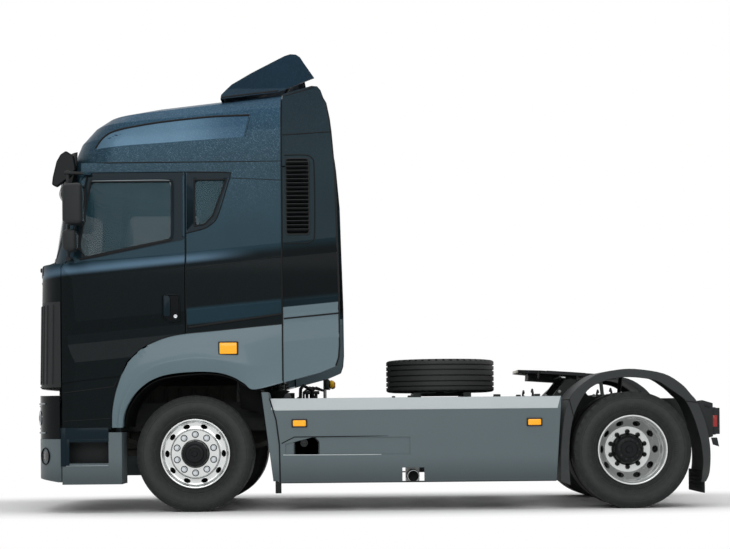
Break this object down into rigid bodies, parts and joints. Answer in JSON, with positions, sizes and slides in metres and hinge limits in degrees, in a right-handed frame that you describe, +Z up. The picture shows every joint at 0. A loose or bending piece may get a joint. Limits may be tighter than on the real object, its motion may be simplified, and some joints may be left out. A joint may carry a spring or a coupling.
{
  "type": "semi truck tractor unit",
  "caption": "Two-axle cab-over tractor unit with a high-roof sleeper cab, side skirts, twin rear wheels, fifth wheel coupling and a spare wheel on the frame.",
  "frame": {"origin": "on the floor, at the middle of the overall length and width", "axes": "-X points forward, -Y is the vehicle's left side, +Z is up"},
  "size_m": [6.1, 2.98, 4.0169],
  "materials": {
    "cab_paint": "gloss metallic dark blue",
    "grey_plastic": "satin grey",
    "black_plastic": "matte black",
    "gloss_black": "gloss black",
    "glass": "tinted glass",
    "tyre": "tyre rubber",
    "alloy": "polished alloy",
    "frame_paint": "satin dark grey chassis paint",
    "cast_iron": "cast and machined steel",
    "steel": "bare steel",
    "tank_alloy": "brushed alloy",
    "fabric": "dark grey cloth",
    "lamp": "red lamp lens",
    "rubber": "rubber"
  },
  "bodies": {
    "chassis": {"frame_rails": "frame_paint", "frame_crossmembers": "frame_paint", "front_axle_beam": "cast_iron", "front_leaf_springs": "frame_paint", "rear_axle_housing": "cast_iron", "rear_air_springs": "rubber", "engine_block": "cast_iron", "gearbox_and_shaft": "cast_iron", "radiator": "frame_paint", "fuel_tank": "tank_alloy", "exhaust_silencer": "steel", "battery_box_and_air_tanks": "black_plastic", "side_skirts": "grey_plastic", "spare_tyre": "tyre", "spare_rim": "alloy", "spare_carrier": "frame_paint", "catwalk": "tank_alloy", "coupling_bracket": "frame_paint", "fifth_wheel_base": "frame_paint", "rear_fenders": "black_plastic", "rear_closing_beam": "frame_paint", "tail_lamps": "lamp", "cab_mounts": "frame_paint", "front_bumper": "grey_plastic", "headlamps": "gloss_black", "entry_steps": "grey_plastic"},
    "cab": {"cab_shell": "cab_paint", "cab_glass": "glass", "roof_cap": "cab_paint", "roof_deflector": "cab_paint", "side_extenders": "cab_paint", "arch_claddings": "grey_plastic", "corner_guides": "black_plastic", "sun_visor": "gloss_black", "dashboard": "black_plastic", "seats": "fabric", "bunk": "fabric"},
    "lid": {"front_lid": "cab_paint"},
    "door_left": {"door_left": "cab_paint", "door_glass_left": "glass"},
    "door_right": {"door_right": "cab_paint", "door_glass_right": "glass"},
    "mirror_left": {"mirror_left": "black_plastic"},
    "mirror_right": {"mirror_right": "black_plastic"},
    "steering_wheel": {"steering_wheel": "black_plastic"},
    "knuckle_left": {"knuckle_left": "cast_iron"},
    "knuckle_right": {"knuckle_right": "cast_iron"},
    "tie_rod": {"tie_rod": "cast_iron"},
    "wheel_front_left": {"wheel_front_left": "alloy", "tyre_front_left": "tyre"},
    "wheel_front_right": {"wheel_front_right": "alloy", "tyre_front_right": "tyre"},
    "wheels_rear_left": {"rims_rear_left": "alloy", "tyres_rear_left": "tyre"},
    "wheels_rear_right": {"rims_rear_right": "alloy", "tyres_rear_right": "tyre"},
    "fifth_wheel": {"fifth_wheel_plate": "steel"}
  },
  "joints": [
    {"name": "cab_tilt", "type": "hinge", "parent": "chassis", "child": "cab", "pos_m": [-2.94, 0, 0.95], "axis": [0, -1, 0], "range_deg": [0, 60]},
    {"name": "lid_lift", "type": "hinge", "parent": "cab", "child": "lid", "pos_m": [-3.039, 0, 1.817], "axis": [0, 1, 0], "range_deg": [0, 75]},
    {"name": "door_left_swing", "type": "hinge", "parent": "cab", "child": "door_left", "pos_m": [-2.729, -1.2, 1.8], "axis": [0, 0, -1], "range_deg": [0, 75]},
    {"name": "door_right_swing", "type": "hinge", "parent": "cab", "child": "door_right", "pos_m": [-2.729, 1.2, 1.8], "axis": [0, 0, 1], "range_deg": [0, 75]},
    {"name": "mirror_left_fold", "type": "hinge", "parent": "door_left", "child": "mirror_left", "pos_m": [-2.623, -1.268, 2.5], "axis": [0, 0, 1], "range_deg": [-60, 20]},
    {"name": "mirror_right_fold", "type": "hinge", "parent": "door_right", "child": "mirror_right", "pos_m": [-2.623, 1.268, 2.5], "axis": [0, 0, -1], "range_deg": [-60, 20]},
    {"name": "steer_left", "type": "hinge", "parent": "chassis", "child": "knuckle_left", "pos_m": [-1.555, -0.9, 0.507], "axis": [0, 0, 1], "range_deg": [-42, 42]},
    {"name": "steer_right", "type": "hinge", "parent": "chassis", "child": "knuckle_right", "pos_m": [-1.555, 0.9, 0.507], "axis": [0, 0, 1], "range_deg": [-42, 42]},
    {"name": "tie_rod_pivot", "type": "hinge", "parent": "knuckle_left", "child": "tie_rod", "pos_m": [-1.385, -0.9, 0.41], "axis": [0, 0, 1], "range_deg": [-42, 42]},
    {"name": "steering_wheel_turn", "type": "hinge", "parent": "cab", "child": "steering_wheel", "pos_m": [-2.245, -0.6, 1.985], "axis": [0.4695, 0, 0.8829], "range_deg": [-800, 800]},
    {"name": "spin_front_left", "type": "hinge", "parent": "knuckle_left", "child": "wheel_front_left", "pos_m": [-1.555, -1.035, 0.507], "axis": [0, 1, 0], "continuous": true},
    {"name": "spin_front_right", "type": "hinge", "parent": "knuckle_right", "child": "wheel_front_right", "pos_m": [-1.555, 1.035, 0.507], "axis": [0, 1, 0], "continuous": true},
    {"name": "spin_rear_left", "type": "hinge", "parent": "chassis", "child": "wheels_rear_left", "pos_m": [2.245, -0.925, 0.507], "axis": [0, 1, 0], "continuous": true},
    {"name": "spin_rear_right", "type": "hinge", "parent": "chassis", "child": "wheels_rear_right", "pos_m": [2.245, 0.925, 0.507], "axis": [0, 1, 0], "continuous": true},
    {"name": "fifth_wheel_pitch", "type": "hinge", "parent": "chassis", "child": "fifth_wheel", "pos_m": [1.813, 0, 1.119], "axis": [0, 1, 0], "range_deg": [-19, 11]}
  ],
  "couplings": [
    {"joint": "steer_right", "follows": "steer_left", "ratio": 1},
    {"joint": "tie_rod_pivot", "follows": "steer_left", "ratio": -1},
    {"joint": "steering_wheel_turn", "follows": "steer_left", "ratio": 18}
  ]
}
